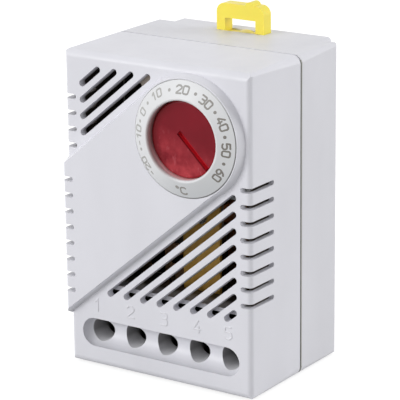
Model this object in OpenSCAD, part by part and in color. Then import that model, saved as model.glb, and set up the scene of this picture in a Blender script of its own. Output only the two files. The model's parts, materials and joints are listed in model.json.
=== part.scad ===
// Enclosure thermostat for a 35 mm mounting rail.
// Frame: +Z up, front towards -Y, rest plane z = 0, origin under the middle of the box.
// All lengths are in millimetres. Depths (y) are counted from the front face, then moved.

/* [Case] */
// outside width at the seam
case_w = 48.4; // [47.4:0.1:52]
// outside height at the seam
case_h = 72.3; // [71.8:0.1:78]
// front face to the seam between the shells
seam_y = 19.5; // [19.3:0.1:21]
// front face to the back of the main body
body_d = 35.35; // [35:0.05:38]
// wall thickness
wall = 1.8; // [1.6:0.1:2]
// how much narrower each end is than the seam, a side
draft = 0.3; // [0.2:0.05:0.4]
// radius of the long edges
edge_r = 2; // [1.5:0.1:2.5]
// radius of the upright front edges
side_r = 1.1; // [0.6:0.1:1.3]
// radius of the upright rear edges
rear_r = 0.9; // [0.6:0.1:1.2]
// radius of the level front edges
front_r = 1.6; // [1:0.1:1.8]
// visible groove at the seam
seam_gap = 0.45; // [0.2:0.05:0.5]
// how far the base's lip reaches into the cover
lip_reach = 1.3; // [1:0.1:2]
// play between lip and cover
lip_play = 0.1; // [0.05:0.05:0.2]

/* [Base] */
// depth of the raised plinth on the back
plinth_d = 3.9; // [3.7:0.1:5]
// case side to the plinth's side
plinth_in = 4.3; // [3:0.1:5]
// front end of the base's floor, under the cover
floor_y = 12; // [11.5:0.1:12.5]
// gap between the floor's edge and the cover's side wall
floor_side = 0.2; // [0.15:0.05:0.4]
// the floor's drop under the case edge
floor_drop = 0.1; // [0.1:0.05:0.3]
// gap between floor and cover
floor_gap = 0.15; // [0.1:0.05:0.3]

/* [Raised band] */
// right side of the case to the dial centre
dial_in = 15.35; // [15.1:0.05:15.6]
// dial centre, height
dial_z = 56.8; // [56:0.1:57.1]
// height of the band over the front face
band_h = 2; // [1.8:0.1:2.2]
// foot radius of its round end
band_r = 13.85; // [13.7:0.05:14]
// half width of its straight part, at the foot
band_hw = 13.7; // [13.4:0.05:13.75]
// run of its sloped flank
band_run = 0.75; // [0.5:0.05:1]
// slope of the band and of the vents
slope = 39.7; // [38:0.1:41]

/* [Dial] */
// outside radius of the scale ring
ring_r = 12.75; // [12.6:0.05:12.9]
// play round the ring, seen as a dark line
ring_play = 0.12; // [0.1:0.02:0.2]
// radius of the ring's hole
ring_hole = 8.55; // [8.5:0.05:8.8]
// height of the ring's rim over the front face
rim_h = 3.58; // [3.3:0.02:3.8]
// rounding of the rim
rim_r = 0.45; // [0.3:0.05:0.6]
// depth of the ring's seat under the band's top
ring_seat = 1.5; // [1.3:0.1:1.6]
// knob radius
knob_r = 8.4; // [8.2:0.05:8.4]
// knob face over the front face
knob_h = 2.3; // [2.2:0.1:2.6]
// rounding of the knob's face edge
knob_round = 0.5; // [0.3:0.05:0.7]
// knob disc thickness
knob_t = 2.2; // [2:0.1:2.4]
// width of the screwdriver groove
groove_w = 1.2; // [0.8:0.1:1.4]
// depth of the screwdriver groove
groove_d = 1.3; // [1:0.1:1.5]
// the groove starts this far beyond the centre
groove_tail = 2; // [1.5:0.1:3]
// direction of the groove at the clockwise stop
groove_rest = -44.6; // [-50:0.2:-40]
// play behind the knob
knob_play = 0.4; // [0.3:0.05:0.5]
// hub radius
hub_r = 3; // [2.8:0.1:3.2]
// running clearance of hub and spindle
run_play = 0.05; // [0.03:0.01:0.08]

/* [Vents] */
// slot width at the front
slot_w = 1.5; // [1.3:0.05:1.6]
// slot width at the inside of the wall
slot_core = 1.2; // [1:0.05:1.3]
// step between slots, in height
slot_step = 3.644; // [3.5:0.01:3.7]
// case side to the middle of the round ends, left
slot_left = 4.95; // [4.8:0.05:5.1]
// case side to the middle of the round ends, right
slot_right = 4.7; // [4.6:0.05:4.9]
// height of the upper ends of the upper left slots
slot_top = 68.4; // [68:0.05:68.6]
// height of the lower end of the first upper left slot
slot_ul = 64.95; // [64.6:0.05:65.1]
// number of upper left slots
slots_ul = 4; // [3:1:4]
// height of the lower ends of the lower right slots
slot_low = 18.05; // [18:0.05:18.4]
// height of the upper end of the first lower right slot
slot_lr = 45.05; // [44.8:0.05:45.3]
// number of lower right slots
slots_lr = 8; // [6:1:8]
// height of the slots round the corners
nick_h = 1.1; // [0.9:0.05:1.2]
// case side to the inner end of the right corner slots
nick_right = 3; // [2.6:0.1:3.2]
// case side to the inner end of the left corner slots
nick_left = 3.2; // [2.8:0.1:3.4]
// rear end of the corner slots
nick_y = 8.85; // [8:0.05:9.5]
// height of the top corner slot
nick_top = 61.7; // [61.5:0.05:61.9]

/* [Cover post] */
// the post's place beside the dial centre
post_in = 11.45; // [11.3:0.05:11.6]
// height of the post
post_z = 67.8; // [67.4:0.1:68]
// radius of the post
post_r = 3.2; // [2.8:0.1:3.3]

/* [Terminals] */
// number of terminals
terminals = 5; // [5:1:5]
// case side to the middle of the bank's outer wall
bank_in = 2.95; // [2.9:0.05:3.1]
// height of the terminal axes
term_z = 8.2; // [8:0.1:8.4]
// radius of the trough
trough_r = 3.3; // [3.1:0.05:3.5]
// radius of the screwdriver holes
access_r = 2.65; // [2.4:0.05:2.7]
// wall of the access tubes
tube_t = 1; // [0.8:0.1:1]
// rear end of the access tubes
tube_y = 7.7; // [7.5:0.1:7.7]
// front of the terminal bank
bank_y = 8; // [7.9:0.1:8.2]
// top of the terminal bank
bank_z = 17.3; // [17:0.1:17.4]
// thickness of the bank's top
bank_t = 1.7; // [1.5:0.1:1.8]
// thickness of the shelf over the bank, behind the lower vents
shelf_t = 1; // [0.8:0.1:1.2]
// underside of that shelf
shelf_z = 18.35; // [18.2:0.05:18.5]
// front edge of that shelf
shelf_y = 2.3; // [2.1:0.1:2.6]
// thickness of the walls between terminals
comb_t = 1; // [0.8:0.1:1.1]
// top of the bank's outer walls
cheek_z = 23.8; // [22:0.2:24]
// front of the terminal blocks
block_y = 11.5; // [11.3:0.1:11.7]
// block width
block_w = 6.4; // [6:0.1:6.6]
// block depth
block_d = 7; // [6.8:0.1:7.2]
// bottom of the blocks
block_z = 3.6; // [3.4:0.1:3.8]
// block height
block_h = 9.2; // [9:0.1:9.4]
// radius of the wire bores
wire_r = 1.7; // [1.5:0.05:1.8]
// radius of the wire entries in the floor
entry_r = 2.2; // [2:0.05:2.3]
// shank radius of the terminal screws
tscrew_r = 1.4; // [1.2:0.05:1.5]
// head radius of the terminal screws
thead_r = 2.4; // [2.2:0.05:2.5]
// blade thickness
blade_t = 0.8; // [0.6:0.05:0.9]
// blade width at the foot
blade_w = 5; // [4.6:0.1:5.2]

/* [Mechanism] */
// front of the bracket's plate
plate_y = 7; // [6.8:0.1:7.2]
// sheet thickness of the bracket
sheet_t = 1.2; // [1:0.1:1.3]
// dial centre to the bracket's left edge
brk_left = 12.85; // [12.7:0.05:13]
// dial centre to the bracket's right edge
brk_right = 11.15; // [11:0.05:11.3]
// lower edge of the bracket's plate
brk_z0 = 42.3; // [42.2:0.1:42.5]
// upper edge of the bracket's plate
brk_z1 = 68.3; // [68:0.1:68.5]
// spindle radius
spindle_r = 2; // [1.8:0.1:2.2]
// cam disc radius
cam_r = 5.2; // [5:0.1:5.3]
// thickness of the cam disc at its low end
cam_t = 1.6; // [1.5:0.1:1.7]
// fall of the cam over the full turn
cam_rise = 0.4; // [0.3:0.05:0.45]
// gap in front of the cam disc
cam_play = 0.4; // [0.35:0.05:0.5]
// full travel of the knob, degrees
travel = 270; // [260:1:280]
// reach of the stop lug
lug_r = 7; // [6.8:0.1:7.1]
// half width of the stop lug, degrees
lug_a = 10; // [8:1:12]
// gap between cam and screw tip
tip_play = 0.12; // [0.1:0.01:0.15]
// hinge height of the lever
pin_z = 45.7; // [45.4:0.1:46]
// hinge depth of the lever
pin_y = 15.6; // [15.4:0.1:15.8]
// hinge pin radius
pin_r = 1; // [0.8:0.05:1.1]
// dial centre to the middle of lever and strip, across
strip_in = 5.55; // [5.4:0.05:5.7]
// width of the bimetal strip
strip_w = 9.6; // [9.2:0.1:9.8]
// thickness of the bimetal strip
strip_t = 0.8; // [0.6:0.05:0.9]
// front of the bimetal strip
strip_y = 12; // [11.9:0.05:12.1]
// lower end of the strip
strip_z0 = 17.6; // [17.5:0.1:18]
// upper end of the strip
strip_z1 = 43; // [42.6:0.1:43.2]
// lever sheet thickness
lever_t = 1; // [0.8:0.05:1.1]
// height of the arm's hinge
arm_pin_z = 35; // [34.8:0.1:35.2]
// height of the contacts
contact_z = 20.5; // [20.3:0.1:20.7]
// front of the contact arm
arm_y = 16.2; // [16.1:0.05:16.3]
// the contact arm's offset from the strip's middle
arm_in = 1.3; // [1.2:0.05:1.4]
// left end of the feedback resistor, from the strip's middle
res_in = 4.3; // [4:0.1:4.6]
// length of the feedback resistor
res_len = 8; // [7.6:0.1:8.4]
// radius of the feedback resistor
res_r = 1.5; // [1.3:0.05:1.6]
// depth of the feedback resistor's axis
res_y = 24; // [23:0.1:25]
// height of the feedback resistor's axis
res_z = 24; // [23.8:0.1:24.6]
// radius of its wires
lead_r = 0.4; // [0.3:0.05:0.5]
// radius of the contact rivets
tip_r = 1.6; // [1.4:0.05:1.7]
// open gap of the contacts
contact_gap = 0.4; // [0.35:0.05:0.45]
// height of the lower strip rivet
rivet_z = 35.5; // [35.2:0.1:36]
// step between the strip rivets
rivet_step = 3.5; // [3.2:0.1:4]
// height of the push stud
stud_z = 27; // [26.8:0.1:27.4]

/* [Rail clip] */
// height of the rail channel
rail_z0 = 18.4; // [18:0.1:19]
// clear height between the hooks' pads
rail_h = 35.6; // [35.4:0.1:36]
// depth of the rail lip's slot
lip_slot = 1.2; // [1.1:0.05:1.4]
// relief behind the rail's lips
lip_relief = 0.2; // [0.1:0.05:0.3]
// overlap of the fixed hook
hook_over = 1.6; // [1.2:0.1:2]
// clip width
clip_w = 12.4; // [12:0.1:12.6]
// clip thickness
clip_t = 3; // [2.8:0.1:3.2]
// front of the clip
clip_y = 33.2; // [33.1:0.05:33.4]
// height of the clip's loop over the case
clip_rise = 5.9; // [5.2:0.1:7.5]
// slide play of the clip
clip_play = 0.1; // [0.08:0.01:0.15]
// free travel of the clip
clip_travel = 3; // [2.4:0.1:3]

/* [Hidden] */
$fn = 64;
z0 = floor_drop;
z1 = z0 + case_h;
hw1 = case_w / 2;
hw0 = hw1 - draft;
floor_hw = hw0 - wall - floor_side;
plinth_w = case_w - 2 * plinth_in;
dial_x = hw1 - dial_in;
post_x = dial_x - post_in;
slot_xl = hw1 - slot_left;
slot_xr = hw1 - slot_right;
nick_zr = nick_top - 4 * slot_step;
nick_zl = nick_top - 5 * slot_step;
pitch = (case_w - 2 * bank_in) / terminals;
strip_x = dial_x - strip_in;
arm_x = strip_x - arm_in;
total_d = body_d + plinth_d;
front_y = -(rim_h + total_d) / 2 + rim_h;
seam_a = seam_y - seam_gap / 2;
seam_b = seam_y + seam_gap / 2;
back_in = body_d - 1.95;
plate_b = plate_y + sheet_t;
cam_y = plate_b + cam_play;
cam_low = cam_y + cam_t;
cam_foot = 0.1;
cam_top = cam_low + cam_foot + cam_rise;
lever_y = strip_y + strip_t;
lever_b = lever_y + lever_t;
block_b = block_y + block_d;
bore_y = block_y + block_d / 2;
blade_b = block_b + blade_t;
arm_b = arm_y + blade_t;
wall_b = blade_b + 0.1;
nc_y = arm_y - 1.4;
tip_x = dial_x - 3.4;
tip_y = cam_top + tip_play;
clip_b = clip_y + clip_t;
clip_top = z1 + clip_rise;
clip_z0 = rail_z0 + rail_h - hook_over;
nose_y = body_d + lip_slot + 0.1;
rail_top = rail_z0 + rail_h;
term_x = [for (i = [0:terminals - 1]) (i - (terminals - 1) / 2) * pitch];
bank_hw = terminals * pitch / 2 + comb_t / 2;
rivet_at = [rivet_z, rivet_z + rivet_step];
res_x = strip_x - res_in;
brk_x0 = dial_x - brk_left;
brk_x1 = dial_x + brk_right;
screw_at = [[brk_x0 + 6.8, brk_z1 - 3], [brk_x1 - 3, brk_z1 - 3], [brk_x1 - 5, brk_z0 + 2.7]];

// extrudes an outline seen from the front, from depth a back to depth b
module along_y(a, b) {
    translate([0, b, 0]) rotate([90, 0, 0]) linear_extrude(b - a) children();
}

// extrudes an outline of depth and height, from x = a to x = b
module along_x(a, b) {
    translate([a, 0, 0]) rotate([90, 0, 90]) linear_extrude(b - a) children();
}

// rounded rectangle of squares and circles
module rounded(x, z, w, h, r) {
    translate([x + r, z]) square([w - 2 * r, h]);
    translate([x, z + r]) square([w, h - 2 * r]);
    for (i = [x + r, x + w - r], j = [z + r, z + h - r]) translate([i, j]) circle(r);
}

// level slot with round ends, from a to b
module slot2d(a, b, z, h) {
    translate([a + h / 2, z - h / 2]) square([b - a - h, h]);
    for (i = [a + h / 2, b - h / 2]) translate([i, z]) circle(h / 2);
}

// round bar along y
module rod_y(x, z, a, b, r) {
    translate([x, b, z]) rotate([90, 0, 0]) cylinder(h = b - a, r = r);
}

// round bar along x
module rod_x(a, b, y, z, r) {
    translate([a, y, z]) rotate([0, 90, 0]) cylinder(h = b - a, r = r);
}

// block between two corners
module slab(x0, x1, y0, y1, za, zb) {
    translate([x0, y0, za]) cube([x1 - x0, y1 - y0, zb - za]);
}

// drafted case form, inset by g, from depth a to depth b; nose rounds the front edges
module form(g, a, b, er = 0.5, nose = false) {
    sr = nose ? side_r : 0;
    fr = nose ? front_r : 0;
    f = nose ? a : min(a, seam_y - 1);
    intersection() {
        along_y(a, b) rounded(-hw1 + g, z0 + g, case_w - 2 * g, case_h - 2 * g, er);
        translate([0, 0, -1]) linear_extrude(case_h + 4) {
            polygon([[-hw0 + g + sr, f], [hw0 - g - sr, f], [hw0 - g, f + sr], [hw1 - g, seam_y],
                [hw0 - g, body_d - rear_r], [hw0 - g - rear_r, body_d],
                [-hw0 + g + rear_r, body_d], [-hw0 + g, body_d - rear_r],
                [-hw1 + g, seam_y], [-hw0 + g, f + sr]]);
            for (i = [-1, 1]) translate([i * (hw0 - g - rear_r), body_d - rear_r]) circle(rear_r);
            if (nose) for (i = [-1, 1]) translate([i * (hw0 - sr), f + sr]) circle(sr);
        }
        along_x(-hw1 - 1, hw1 + 1) {
            polygon([[f, z0 + draft + g + fr], [f + fr, z0 + draft + g], [seam_y, z0 + g],
                [body_d, z0 + draft + g], [body_d, z1 - draft - g], [seam_y, z1 - g],
                [f + fr, z1 - draft - g], [f, z1 - draft - g - fr]]);
            if (nose) for (j = [z0 + draft + fr, z1 - draft - fr])
                translate([f + fr, j]) circle(fr);
        }
    }
}

// raised band, inset by g, from depth a (inside) to height h over the face
module band(g, a, h) {
    k = band_run / band_h;
    r_a = band_r - g + a * k;
    r_h = band_r - g - h * k;
    w_a = band_hw - g + a * k;
    w_h = band_hw - g - h * k;
    translate([dial_x, a, dial_z]) rotate([90, 0, 0]) cylinder(h = a + h, r1 = r_a, r2 = r_h);
    translate([dial_x, 0, dial_z]) rotate([0, 180 - slope, 0])
        along_x(0, 60) polygon([[a, -w_a], [a, w_a], [-h, w_h], [-h, -w_h]]);
}

// outline that trims the band flush with the left side, seen from the front
module band_trim() {
    along_y(-band_h - 1, 1) rounded(-hw1, z0, case_w, case_h, edge_r);
}

// the same trim seen from above, with the rounded upright edge
module band_plan() {
    translate([0, 0, -1]) linear_extrude(case_h + 4) {
        polygon([[-hw0 + side_r, -band_h], [hw1 + 5, -band_h], [hw1 + 5, 1], [-hw0, 1],
            [-hw0, -band_h + side_r]]);
        translate([-hw0 + side_r, -band_h + side_r]) circle(side_r);
    }
}

// drafted slot with round ends between two points of the front face
module vent(xa, za, xb, zb) {
    run = norm([xb - xa, zb - za]);
    k = (slot_w - slot_core) / 2 / wall;
    r_out = slot_w / 2 + k * 0.5;
    r_in = slot_core / 2 - k * 0.5;
    translate([xa, 0, za]) rotate([0, -atan2(zb - za, xb - xa), 0]) {
        along_x(0, run) polygon([[-0.5, -r_out], [-0.5, r_out], [wall + 0.5, r_in],
            [wall + 0.5, -r_in]]);
        for (x = [0, run]) translate([x, wall + 0.5, 0]) rotate([90, 0, 0])
            cylinder(h = wall + 1, r1 = r_in, r2 = r_out);
    }
}

module vents() {
    for (k = [0:slots_ul - 1]) {
        za = slot_ul - k * slot_step;
        vent(-slot_xl, za, -slot_xl + (slot_top - za) / tan(slope), slot_top);
    }
    for (k = [0:slots_lr - 1]) {
        zb = slot_lr - k * slot_step;
        vent(slot_xr - (zb - slot_low) / tan(slope), slot_low, slot_xr, zb);
    }
}

// slots wrapped round a front corner; s is the side, inner the end on the front
module nicks(s, inner, z, n) {
    m = s > 0 ? 0 : 1;
    for (k = [0:n - 1]) mirror([m, 0, 0]) {
        along_y(-band_h - 1, wall + 0.2) slot2d(inner, hw1 + 2, z - k * slot_step, nick_h);
        along_x(hw0 - wall - 0.3, hw1 + 1) slot2d(-6, nick_y, z - k * slot_step, nick_h);
    }
}

// trough with ball ends, as one turned solid
module capsule(r) {
    reach = term_x[terminals - 1] + 0.5;
    translate([0, 0, term_z]) rotate([0, 90, 0]) rotate_extrude() intersection() {
        union() {
            translate([-r, -reach]) square([2 * r, 2 * reach]);
            for (i = [-1, 1]) translate([0, i * reach]) circle(r);
        }
        translate([0, -40]) square([20, 80]);
    }
}

module front_cover() {
    boss_r = ring_hole + wall;
    well_y = knob_t - knob_h + knob_play;
    color("Gainsboro") difference() {
        union() {
            difference() {
                union() {
                    form(0, 0, seam_a, edge_r, true);
                    intersection() {
                        band(0, 0.5, band_h);
                        band_trim();
                        band_plan();
                    }
                }
                form(wall, wall, seam_a + 1);
                intersection() {
                    band(wall, wall + 1, band_h - wall);
                    slab(-hw0 + wall, hw1, -3, 5, 10, 60);
                    slab(-hw1 - 2, dial_x - 12.25, -3, 6, 0, 56);
                }
            }
            intersection() {
                form(0, 0, seam_a, edge_r, true);
                union() {
                    rod_y(dial_x, dial_z, 0.2, well_y + wall, boss_r + 3.4);
                    capsule(trough_r + 1.6);
                    for (x = term_x) rod_y(x, term_z, 1, tube_y, access_r + tube_t);
                }
            }
            rod_y(dial_x, dial_z, 1, 5, hub_r + run_play + 1.6);
            // post that holds down the bracket's corner
            rod_y(post_x, post_z, wall - 0.1, plate_y - 0.2, post_r);
        }
        rod_y(dial_x, dial_z, -band_h - 1, -band_h + ring_seat, ring_r + ring_play);
        rod_y(dial_x, dial_z, -band_h, well_y, ring_hole);
        rod_y(dial_x, dial_z, 0, 6, hub_r + run_play);
        for (a = [30, 150, 270])
            rod_y(dial_x + 10.8 * cos(a), dial_z + 10.8 * sin(a), -1, 0.6, 0.8);
        capsule(trough_r);
        for (x = term_x) rod_y(x, term_z, -1, tube_y + 1, access_r);
        vents();
        nicks(1, hw1 - nick_right, nick_zr, 8);
        nicks(-1, hw1 - nick_left, nick_top, 4);
        nicks(-1, hw1 - nick_left, nick_zl, 8);
        // rebate for the base's lip
        intersection() {
            form(wall / 2, seam_a - lip_reach - lip_play, seam_a + 1);
            slab(-hw1, hw1, 0, seam_a + 1, 0, z1 + 1);
        }
        // room for the base's floor
        slab(-floor_hw - floor_gap, floor_hw + floor_gap, floor_y - floor_gap, seam_a + 1,
            z0 - 1, z0 + draft + wall + 0.4);
    }
}

// pads and hooks of the rail side
module plinth() {
    intersection() {
        along_y(body_d - 1, total_d) rounded(-plinth_w / 2, 0, plinth_w, z1 - draft, 1);
        slab(-hw1, hw1, body_d - 1, total_d, 0, z1 - draft);
    }
}

// room of the sliding clip
module clip_room() {
    w = clip_w / 2 + clip_play;
    slab(-w, w, clip_y - clip_play, clip_b + clip_play, rail_top, z1 + 1);
    slab(-w - 3.2, w + 3.2, clip_y - clip_play, clip_b + clip_play, rail_top + 3, z1 - 5);
    slab(-4.6, 4.6, clip_b - 1, total_d + 1, rail_top, clip_z0 + 3.6 + clip_travel + 0.2);
}

module back_base() {
    lip_g = wall / 2 + lip_play;
    color("LightGray") difference() {
        union() {
            difference() {
                union() {
                    form(0, seam_b, body_d, edge_r);
                    plinth();
                    slab(-floor_hw, floor_hw, floor_y, body_d, 0, z0 + draft + wall);
                    difference() {
                        form(lip_g, seam_a - lip_reach, seam_b + 1);
                        slab(-hw1, hw1, 0, seam_b, -1, z0 + draft + wall);
                    }
                }
                difference() {
                    form(wall, floor_y - 2, back_in);
                    slab(-hw1, hw1, 0, body_d, -1, z0 + draft + wall);
                }
            }
            // terminal bank
            difference() {
                union() {
                    slab(-bank_hw, bank_hw, bank_y, wall_b + 1, z0 + draft + wall + 0.15, bank_z);
                    slab(-bank_hw, bank_hw, floor_y, wall_b + 1, 0.5, bank_z);
                    for (s = [-1, 1]) slab(s * (bank_hw - comb_t / 2) - comb_t / 2,
                        s * (bank_hw - comb_t / 2) + comb_t / 2, bank_y, wall_b + 1, 3, cheek_z);
                }
                for (x = term_x) slab(x - pitch / 2 + comb_t / 2, x + pitch / 2 - comb_t / 2,
                    bank_y - 1, wall_b, z0 + draft + wall, bank_z - bank_t);
                // slots for the blades
                for (x = term_x) slab(x - blade_w / 2 - 0.2, x + blade_w / 2 + 0.2,
                    block_b - 0.2, wall_b, bank_z - bank_t - 1, bank_z + 1);
            }
            // shelf behind the lower vents, which keeps fingers off the terminals
            slab(-bank_hw, bank_hw, shelf_y, bank_y + 1.2, shelf_z, shelf_z + shelf_t);
            slab(-bank_hw, bank_hw, bank_y, bank_y + 1.2, bank_z - 1, shelf_z + shelf_t);
            // seats of the blocks
            for (x = term_x) slab(x - pitch / 2, x + pitch / 2, bore_y + entry_r + 0.1,
                wall_b + 0.5, z0 + draft + wall - 0.5, block_z);
            // pillars of the bracket
            for (p = screw_at) rod_y(p[0], p[1], plate_b, back_in + 0.5, 2.6);
            // housing of the clip
            slab(-11.2, 11.2, clip_y - clip_play - 1.6, back_in + 0.5, rail_top - 4.6,
                z1 - draft - wall + 0.5);
        }
        // channel of the mounting rail
        slab(-hw1, hw1, body_d, total_d + 1, rail_z0 + hook_over, rail_top);
        slab(-hw1, hw1, body_d, body_d + lip_slot, rail_z0, rail_top);
        for (z = [rail_z0, rail_top - hook_over - lip_relief])
            slab(-hw1, hw1, body_d - lip_relief, body_d + 1, z, z + hook_over + lip_relief);
        clip_room();
        // wire entries
        for (x = term_x) translate([x, bore_y, -1])
            cylinder(h = z0 + draft + wall + 2, r = entry_r);
        for (p = screw_at) rod_y(p[0], p[1], plate_b - 1, plate_b + 9, 0.9);
        // light pockets in the pads
        slab(-17.8, 17.8, back_in - 1, total_d - 1.8, 4, rail_z0 - 2);
        for (s = [-1, 1]) slab(s * 15 - 2.6, s * 15 + 2.6, back_in - 1, total_d - 1.8,
            rail_top + 2, z1 - 4.5);
    }
}

module scale_ring() {
    seat = -band_h + ring_seat;
    rim_c = ring_hole + rim_r;
    cone = atan((rim_h - band_h) / (ring_r - rim_c));
    color("WhiteSmoke") {
        translate([dial_x, 0, dial_z]) rotate([90, 0, 0]) rotate_extrude() {
            polygon([[ring_hole, -seat], [ring_r, -seat], [ring_r, band_h],
                [rim_c + rim_r * sin(cone), rim_h - rim_r + rim_r * cos(cone)],
                [ring_hole, rim_h - rim_r]]);
            translate([rim_c, rim_h - rim_r]) circle(rim_r);
        }
        for (a = [30, 150, 270])
            rod_y(dial_x + 10.8 * cos(a), dial_z + 10.8 * sin(a), seat - 0.5, 0.5, 0.8);
    }
}

module setpoint_knob() {
    color("Firebrick") difference() {
        union() {
            translate([dial_x, 0, dial_z]) rotate([90, 0, 0]) rotate_extrude() {
                translate([0, knob_h - knob_t]) square([knob_r, knob_t - knob_round]);
                translate([0, knob_h - knob_t]) square([knob_r - knob_round, knob_t]);
                translate([knob_r - knob_round, knob_h - knob_round]) circle(knob_round);
            }
            rod_y(dial_x, dial_z, -knob_h + knob_t - 0.5, 5.4, hub_r);
        }
        translate([dial_x, 0, dial_z]) rotate([0, -groove_rest, 0])
            slab(-groove_tail, knob_r + 1, -knob_h - 1, -knob_h + groove_d,
                -groove_w / 2, groove_w / 2);
        rod_y(dial_x, dial_z, 1.6, 6, spindle_r);
    }
}

// helical face of the cam; it falls from the rest contact over the whole travel
module cam_face() {
    n = 36;
    step = 360 / n;
    // local angle 180 is under the screw tip at rest
    function fall(i) = let (a = i * step) a <= travel ? cam_rise * (1 - a / travel)
        : cam_rise * (a - travel) / (360 - travel);
    r0 = spindle_r + 0.3;
    r1 = cam_r - 0.2;
    pts = concat(
        [for (i = [0:n - 1]) [r0 * cos(180 - i * step), -0.4, r0 * sin(180 - i * step)]],
        [for (i = [0:n - 1]) [r1 * cos(180 - i * step), -0.4, r1 * sin(180 - i * step)]],
        [for (i = [0:n - 1]) [r0 * cos(180 - i * step), fall(i) + cam_foot, r0 * sin(180 - i * step)]],
        [for (i = [0:n - 1]) [r1 * cos(180 - i * step), fall(i) + cam_foot, r1 * sin(180 - i * step)]]);
    faces = [for (i = [0:n - 1]) let (j = (i + 1) % n) each [
        [i, n + j, j], [i, n + i, n + j],
        [2 * n + i, 3 * n + j, 3 * n + i], [2 * n + i, 2 * n + j, 3 * n + j],
        [n + i, 3 * n + j, n + j], [n + i, 3 * n + i, 3 * n + j],
        [j, 2 * n + i, i], [j, 2 * n + j, 2 * n + i]]];
    translate([dial_x, cam_low, dial_z]) polyhedron(points = pts, faces = faces);
}

// ring sector seen from the front, between two angles
module sector(r0, r1, a0, a1, y0, y1) {
    translate([dial_x, y1, dial_z]) rotate([90, 0, 0]) rotate([0, 0, a0])
        rotate_extrude(angle = a1 - a0) translate([r0, 0]) square([r1 - r0, y1 - y0]);
}

module cam_spindle() {
    color("DarkGoldenrod") {
        rod_y(dial_x, dial_z, 1.6, cam_top + 1.2, spindle_r);
        rod_y(dial_x, dial_z, cam_y, cam_low, cam_r);
        cam_face();
        sector(cam_r - 0.5, lug_r, 135 - lug_a, 135 + lug_a, cam_y, cam_low);
    }
}

module mechanism_bracket() {
    ear_in = strip_w / 2 + 0.8;
    stop_half = (360 - travel) / 2 - lug_a - 0.5;
    color("Silver") {
        difference() {
            union() {
                slab(brk_x0, brk_x1, plate_y, plate_b, brk_z0, brk_z1);
                slab(strip_x - ear_in, strip_x + ear_in, plate_y, plate_b, brk_z0 - 2.8, brk_z0 + 1);
            }
            rod_y(dial_x, dial_z, plate_y - 1, plate_b + 1, spindle_r + run_play);
            for (p = screw_at) rod_y(p[0], p[1], plate_y - 1, plate_b + 1, 1.1);
        }
        for (s = [-1, 1]) difference() {
            slab(strip_x + s * (ear_in + 0.5) - 0.5, strip_x + s * (ear_in + 0.5) + 0.5,
                plate_b - 0.3, pin_y + 2.4, brk_z0, pin_z + 3.3);
            rod_x(brk_x0 - 5, brk_x1, pin_y, pin_z, pin_r);
        }
        sector(cam_r + 0.6, lug_r + 0.2, 90 - stop_half, 90 + stop_half, plate_b - 0.2, cam_low);
    }
}

module bracket_screws() {
    color("Gray") for (p = screw_at) {
        rod_y(p[0], p[1], plate_y, plate_b + 8, 0.9);
        rod_y(p[0], p[1], plate_y - 1, plate_y, 1.9);
    }
}

module lever_pin() {
    color("LightSteelBlue") rod_x(strip_x - strip_w / 2 - 2.2, strip_x + strip_w / 2 + 2.2,
        pin_y, pin_z, pin_r);
}

module adjusting_lever() {
    w = strip_w / 2;
    color("Silver") difference() {
        union() {
            slab(strip_x - w, strip_x + w, lever_y, lever_b, rivet_z - 2.5, dial_z + 3.2);
            for (s = [-1, 1]) slab(strip_x + s * (w - 0.45) - 0.45, strip_x + s * (w - 0.45) + 0.45,
                lever_y, pin_y + 2.2, pin_z - 2.4, pin_z + 2.4);
        }
        rod_x(-10, 20, pin_y, pin_z, pin_r + run_play);
        rod_y(tip_x, dial_z, lever_y - 1, lever_b + 1, 1);
        for (z = rivet_at) rod_y(strip_x, z, lever_y - 1, lever_b + 1, 1);
    }
}

// round wire wound along z from 0 to len, r the mean radius
module coil(r, wire, len, turns) {
    n = 6;
    m = turns * 14;
    rise = (len - 2 * wire) / m;
    pts = [for (i = [0:m], j = [0:n - 1]) let (a = 360 * i / 14, b = 360 * j / n,
        q = r + wire * cos(b)) [q * cos(a), q * sin(a), wire + i * rise + wire * sin(b)]];
    sides = [for (i = [0:m - 1], j = [0:n - 1]) let (k = (j + 1) % n) each [
        [i * n + j, i * n + k, (i + 1) * n + k], [i * n + j, (i + 1) * n + k, (i + 1) * n + j]]];
    ends = [[for (j = [0:n - 1]) n - 1 - j], [for (j = [0:n - 1]) m * n + j]];
    polyhedron(points = pts, faces = concat(sides, ends));
}

// compression spring between bracket and strip, under the hinge
module lever_spring() {
    color("Silver") translate([strip_x, plate_b, brk_z0 - 1]) rotate([-90, 0, 0])
        coil(1.2, 0.25, strip_y - plate_b, 3);
}

module calibration_screw() {
    color("Goldenrod") {
        rod_y(tip_x, dial_z, tip_y, lever_b + 2, 1);
        difference() {
            rod_y(tip_x, dial_z, lever_b + 0.4, lever_b + 1.8, 1.8);
            slab(tip_x - 3, tip_x + 3, lever_b + 1.2, lever_b + 3, dial_z - 0.25, dial_z + 0.25);
        }
    }
}

module bimetal_strip() {
    color("DarkGoldenrod") difference() {
        slab(strip_x - strip_w / 2, strip_x + strip_w / 2, strip_y, lever_y, strip_z0, strip_z1);
        for (z = rivet_at) rod_y(strip_x, z, strip_y - 1, lever_y + 1, 1);
    }
}

module bimetal_rivets() {
    color("Silver") for (z = rivet_at) {
        rod_y(strip_x, z, strip_y - 0.5, lever_b + 0.5, 1);
        rod_y(strip_x, z, strip_y - 0.5, strip_y, 1.7);
        rod_y(strip_x, z, lever_b, lever_b + 0.5, 1.7);
    }
}

module push_stud() {
    color("Ivory") {
        rod_y(strip_x, stud_z, lever_y, arm_y - 1.5, 1);
        rod_y(strip_x, stud_z, lever_y, lever_y + 0.6, 1.8);
    }
}

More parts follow.
